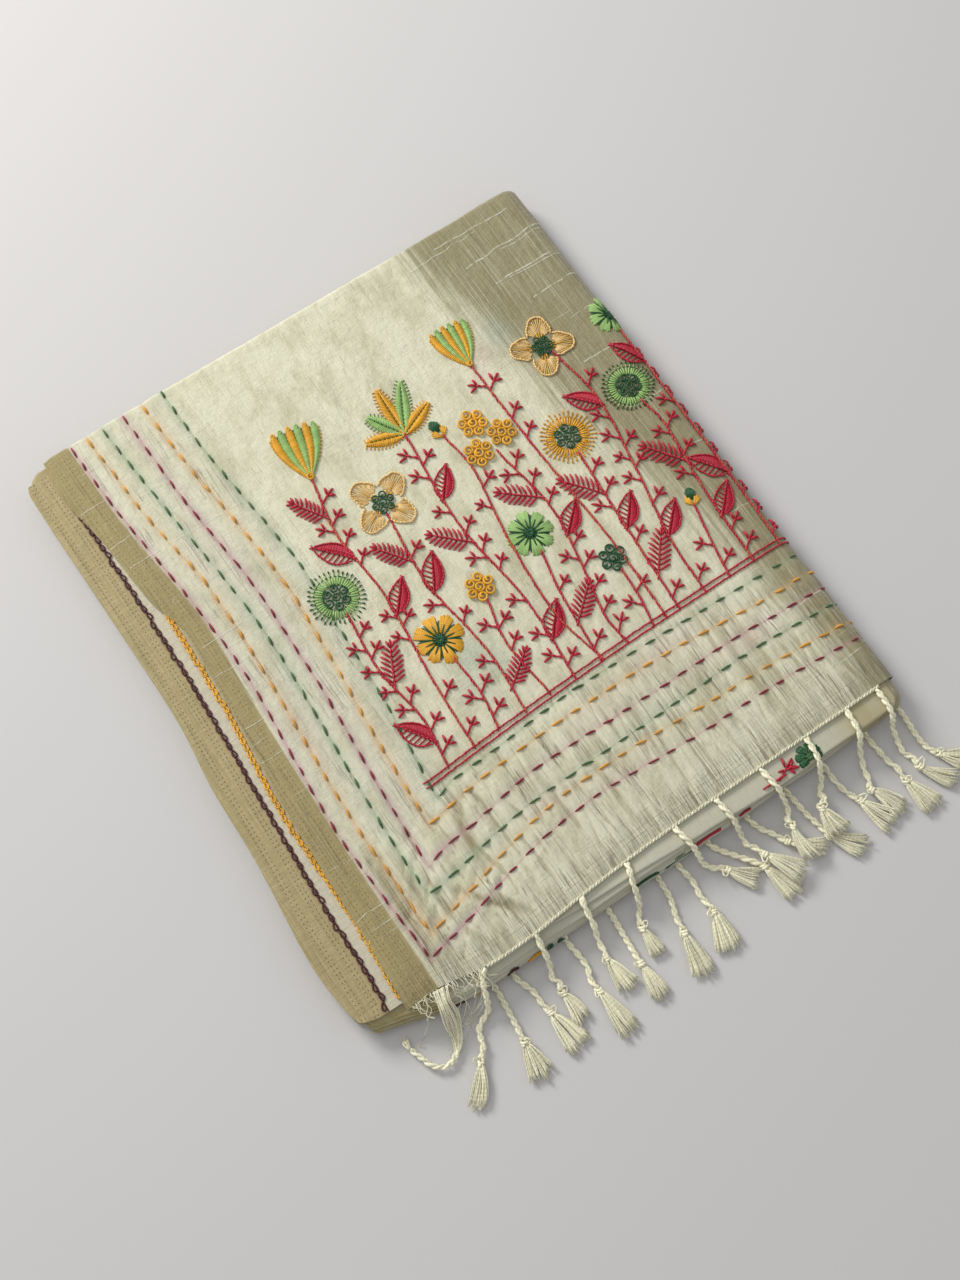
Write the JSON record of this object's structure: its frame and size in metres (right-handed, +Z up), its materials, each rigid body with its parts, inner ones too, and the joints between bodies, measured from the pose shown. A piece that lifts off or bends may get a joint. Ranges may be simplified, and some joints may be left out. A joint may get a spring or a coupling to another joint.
{
  "type": "folded saree",
  "caption": "Saree folded flat into a packet, its stitched and embroidered end outermost, with plain woven side borders and a tasselled fringe.",
  "frame": {"origin": "centre of the packet's flat underside, on the surface it rests on", "axes": "+X along the fringed end towards the packet's right fold, +Y along the cloth's length away from the fringe, +Z up"},
  "size_m": [0.3258, 0.3968, 0.0184],
  "materials": {
    "cloth": "cream silk and cotton weave with a soft sheen",
    "border": "olive gold woven border with a satin sheen",
    "layers": "grey white cloth edges, matte",
    "fringe": "silky cream yarn",
    "thread": "glossy embroidery thread in crimson, maroon, orange, yellow and greens"
  },
  "bodies": {
    "root": {"pallu_face": "cloth", "pallu_underside": "cloth", "second_stretch": "border", "inner_stack": "layers", "fringe_top": "fringe", "fringe_under": "fringe"}
  },
  "joints": []
}
